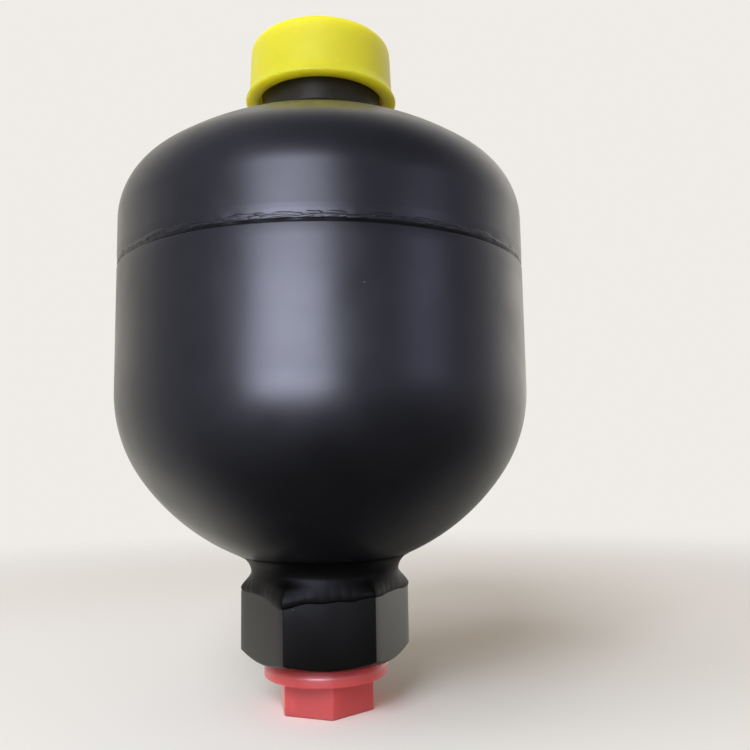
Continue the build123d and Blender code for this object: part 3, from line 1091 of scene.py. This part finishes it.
@dataclass
class Separator:
    """Rubber diaphragm with its closing disc, and the steel rings that hold its rim."""

    shell: PressureShell
    gap: float = 0.1
    thickness: float = 2.2
    bead: float = 3.1
    bead_height: float = 6.3
    pad_radius: float = 14.0
    knob_radius: float = 8.5
    bend_from: float = 66.0
    bend_to: float = 36.0

    def build(self) -> None:
        """Make the diaphragm and dress the rings and the disc."""
        top_z = box_mm("diaphragm")[1].z
        disc_low, disc_high = box_mm("valve_disc")
        outer = self.shell.wall + self.gap
        rim = self.shell.radius - outer
        pocket, disc_top = disc_high.x + 0.05, disc_low.z + 2.65
        bead_low, knob_top = top_z - self.bead_height, disc_low.z + 10.8
        skirt = self.shell.fluid.arcs(pocket, outer, 30)
        inside = self.shell.fluid.arcs(self.pad_radius, outer + self.thickness, 30)[::-1]
        bead = rounded([(rim, bead_low, 0.2), (rim, top_z, 0.9), (rim - self.bead, top_z, 0.9),
                        (rim - self.bead, bead_low, 0.8), (rim - self.thickness, bead_low - 0.6, 0.3)])
        knob = rounded([(self.pad_radius, disc_top + 2.2, 0.4), (self.knob_radius, disc_top + 2.2, 0.8),
                        (self.knob_radius, knob_top, 2.5), (0.0, knob_top, 0.0)])
        stud = [(0.0, disc_top + 4.1), (5.05, disc_top + 4.1), (5.05, disc_top + 2.35),
                (3.05, disc_top + 2.35), (3.05, disc_top), (pocket, disc_top)]
        obj = turned("diaphragm_bag", skirt + bead + inside + knob + stud, 192, 50.0)
        obj.data.materials.append(RUBBER.material())
        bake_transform(obj)
        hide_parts("diaphragm")
        LOG.info("%s bends between shell and disc", obj.name)
        for node in ("valve_disc", "clamp_ring", "weld_backing_ring"):
            redress(node, BARE)


# The studio


@dataclass(frozen=True)
class SoftBox:
    """A soft lamp, placed by its direction from a point on the axis, for reflections or for shading."""

    name: str
    turn_deg: float
    lift_deg: float
    distance: float
    width: float
    height: float
    radiance: float
    colour: str
    glossy: bool


@dataclass
class Studio:
    """Camera, lamps, background and floor."""

    camera_mm: Triple = (-8.531, -174.434, 52.3)
    forward: Triple = (0.1148793, 0.9870156, 0.11226285)
    right: Triple = (0.99337394, -0.11376589, -0.0162956)
    lens_mm: float = 36.96
    aim_mm: Triple = (0.0, 0.0, 85.0)
    background: str = "#EFECE8"
    floor: str = "#FAF9F8"
    floor_radius: float = 0.5
    floor_steps: int = 96
    floor_fade: Pair = (0.15, 0.45)
    boxes: tuple[SoftBox, ...] = (
        SoftBox("window_glow_low", -15.5, -1.6, 0.30, 0.185, 0.107, 15.0, "#E2E5FF", True),
        SoftBox("window_glow_high", -15.5, 18.2, 0.30, 0.18, 0.11, 7.6, "#E2E5FF", True),
        SoftBox("lamp_glow", 52.0, 10.0, 0.60, 0.2, 0.2, 2.3, "#CFCFFF", True),
        SoftBox("window", -22.0, 34.0, 0.80, 0.34, 0.34, 11.2, "#F6FBFF", False),
        SoftBox("left_light", -50.0, 52.0, 0.80, 0.44, 0.44, 3.4, "#F6FBFF", False),
    )

    def build(self) -> None:
        """Set up everything that isn't the object."""
        bpy.context.scene.view_settings.view_transform = "Standard"
        self.place_camera()
        for box in self.boxes:
            self.place_box(box)
        self.make_world()
        self.make_floor()

    def place_camera(self) -> None:
        """Stand the camera where the photograph was taken from."""
        data = bpy.data.cameras.new("view")
        data.lens, data.sensor_width, data.clip_start = self.lens_mm, 36.0, 0.005
        forward, right = Vector(self.forward).normalized(), Vector(self.right).normalized()
        turn = Matrix((right, right.cross(forward), -forward)).transposed().to_4x4()
        camera = show(bpy.data.objects.new("view", data))
        camera.matrix_world = Matrix.Translation(Vector(self.camera_mm) * MM) @ turn
        bpy.context.scene.camera = camera

    def place_box(self, box: SoftBox) -> None:
        """Hang one lamp, aimed at the shell.

        Args:
            box: The lamp.
        """
        towards = math.atan2(self.camera_mm[1], self.camera_mm[0]) + math.radians(box.turn_deg)
        lift = math.radians(box.lift_deg)
        away = Vector((math.cos(towards) * math.cos(lift), math.sin(towards) * math.cos(lift),
                       math.sin(lift)))
        data = bpy.data.lights.new(box.name, "AREA")
        data.shape = "RECTANGLE"
        data.size, data.size_y = box.width, box.height
        data.energy = box.radiance * math.pi * box.width * box.height
        data.color = linear(box.colour)[:3]
        lamp = show(bpy.data.objects.new(box.name, data))
        lamp.location = Vector(self.aim_mm) * MM + away * box.distance
        lamp.rotation_euler = away.to_track_quat("Z", "Y").to_euler()
        lamp.visible_camera, lamp.visible_glossy, lamp.visible_diffuse = False, box.glossy, not box.glossy

    def make_world(self) -> None:
        """Pale sheet behind the object, a dimmer room in front and dark below, as reflections show them."""
        world = bpy.data.worlds.new("room")
        world.use_nodes = True
        bpy.context.scene.world = world
        tree = world.node_tree
        tree.nodes.clear()
        path = add(tree, "LightPath").outputs
        x, y, z = add(tree, "SeparateXYZ", (add(tree, "TexCoord").outputs["Generated"],)).outputs
        behind = add(tree, "MapRange", (y, -0.15, 0.65), interpolation_type="SMOOTHSTEP")
        ceiling = add(tree, "MapRange", (x, -0.5, 0.3, 0.45, 0.15))
        wall = add(tree, "MapRange", (z, -0.8, -0.2, 0.1, 0.5))
        front = add(tree, "MapRange", (z, 0.1, 0.7, wall, ceiling))
        back = add(tree, "MapRange", (x, 0.15, 0.85, 1.05, 1.75))
        bright = add(tree, "Mix", {"Factor_Float": behind, "A_Float": front, "B_Float": back})
        low = add(tree, "MapRange", (x, -0.42, 0.1, -1.1, -0.45))
        high = add(tree, "MapRange", (x, -0.42, 0.1, -0.58, 0.12))
        shade = add(tree, "MapRange", (x, 0.1, 0.6, 0.0, 0.3))
        above = add(tree, "MapRange", (z, low, high, shade), interpolation_type="SMOOTHSTEP")
        level = add(tree, "Math", (bright, above), operation="MULTIPLY")
        tint = add(tree, "Mix", {"Factor_Float": behind, "A_Color": linear("#E9EBFF"),
                                 "B_Color": linear("#FBF6EC")}, data_type="RGBA")
        sheet, room, soft = (add(tree, "Background", {"Color": colour, "Strength": strength})
                             for colour, strength in ((linear(self.background), 1.0), (tint, level),
                                                      (linear("#FFF0DE"), 0.4)))
        first = add(tree, "MixShader", (path["Is Glossy Ray"], soft, room))
        seen = add(tree, "Math", (path["Is Camera Ray"], path["Is Transmission Ray"]), operation="MAXIMUM")
        both = add(tree, "MixShader", (seen, first, sheet))
        add(tree, "OutputWorld", {"Surface": both})

    def make_floor(self) -> None:
        """Pale floor under the plug, that keeps the shadow and fades out with distance and from below."""
        material = bpy.data.materials.new("floor_card")
        material.use_nodes = True
        tree = material.node_tree
        shader = tree.nodes["Principled BSDF"]
        feed(tree, shader, {"Base Color": linear(self.floor), "Roughness": 0.9, "Specular IOR Level": 0.0})
        coords = add(tree, "TexCoord").outputs["Object"]
        reach = add(tree, "VectorMath", (coords,), operation="LENGTH")
        fade = add(tree, "MapRange", (reach, *self.floor_fade), interpolation_type="SMOOTHSTEP")
        under = add(tree, "NewGeometry").outputs["Backfacing"]
        gone = add(tree, "Math", (fade, under), operation="MAXIMUM")
        clear = add(tree, "BsdfTransparent")
        mixed = add(tree, "MixShader", (gone, shader, clear))
        feed(tree, tree.nodes["Material Output"], {"Surface": mixed})
        mesh = bpy.data.meshes.new("floor")
        rim = [(self.floor_radius * math.cos(t), self.floor_radius * math.sin(t), 0.0)
               for t in full_turn(self.floor_steps)]
        mesh.from_pydata(rim, [], [list(range(self.floor_steps))])
        mesh.materials.append(material)
        floor = show(bpy.data.objects.new("floor", mesh))
        floor.visible_glossy = False
        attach(floor, Body.PLUG.value)


def main() -> None:
    """Build the accumulator from its sub-assemblies, then the studio round it."""
    logging.basicConfig(level=logging.INFO, format="%(name)s: %(message)s")
    shell = PressureShell()
    for part in (shell, FluidPort(shell), TransportPlug(), GasBoss(shell), ChargingScrew(), ProtectiveCap(),
                 Separator(shell)):
        part.build()
    Studio().build()


if __name__ == "__main__":
    main()
